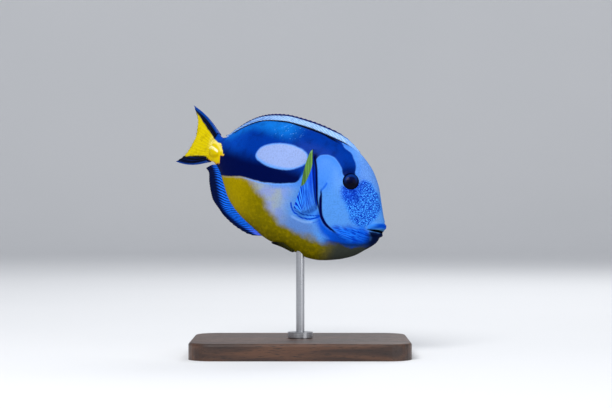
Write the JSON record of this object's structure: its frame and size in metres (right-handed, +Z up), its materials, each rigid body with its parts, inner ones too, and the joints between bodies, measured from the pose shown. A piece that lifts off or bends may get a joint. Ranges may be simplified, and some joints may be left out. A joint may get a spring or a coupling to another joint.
{
  "type": "regal blue tang model",
  "caption": "Life-size regal blue tang swimming head down with its tail turned aside, held over a flat display base by a rod.",
  "frame": {"origin": "centre of the stand base's underside", "axes": "+X ahead of the fish's head, +Y towards its left side and turned tail, +Z up from the floor"},
  "size_m": [0.1162, 0.1046, 0.1232],
  "materials": {
    "head_skin": "wet fish skin, light blue with dark blue freckles on the face",
    "body_skin": "wet fish skin, royal blue palette, lilac patch, olive yellow belly",
    "tail_skin": "wet fish skin, yellow",
    "eye": "clear glossy dome over near black",
    "dorsal_fin": "light blue membrane with a dark edge",
    "anal_fin": "bright blue membrane with dark rays",
    "tail_fin": "yellow membrane with dark lobes",
    "pectoral_fin": "blue membrane with a yellow green tip",
    "pelvic_fin": "olive membrane with a dark edge",
    "tail_blade": "smooth pale orange spine",
    "stand_wood": "dark walnut, satin",
    "stand_steel": "brushed"
  },
  "bodies": {
    "root": {"head": "head_skin", "torso": "body_skin", "tail_stem": "tail_skin", "eye_left": "eye", "eye_right": "eye", "dorsal_fin": "dorsal_fin", "anal_fin": "anal_fin", "tail_fin": "tail_fin", "pectoral_fin_left": "pectoral_fin", "pectoral_fin_right": "pectoral_fin", "pelvic_fin_left": "pelvic_fin", "pelvic_fin_right": "pelvic_fin", "tail_blade_left": "tail_blade", "tail_blade_right": "tail_blade", "stand_base": "stand_wood", "stand_collar": "stand_steel", "stand_rod": "stand_steel"}
  },
  "joints": []
}
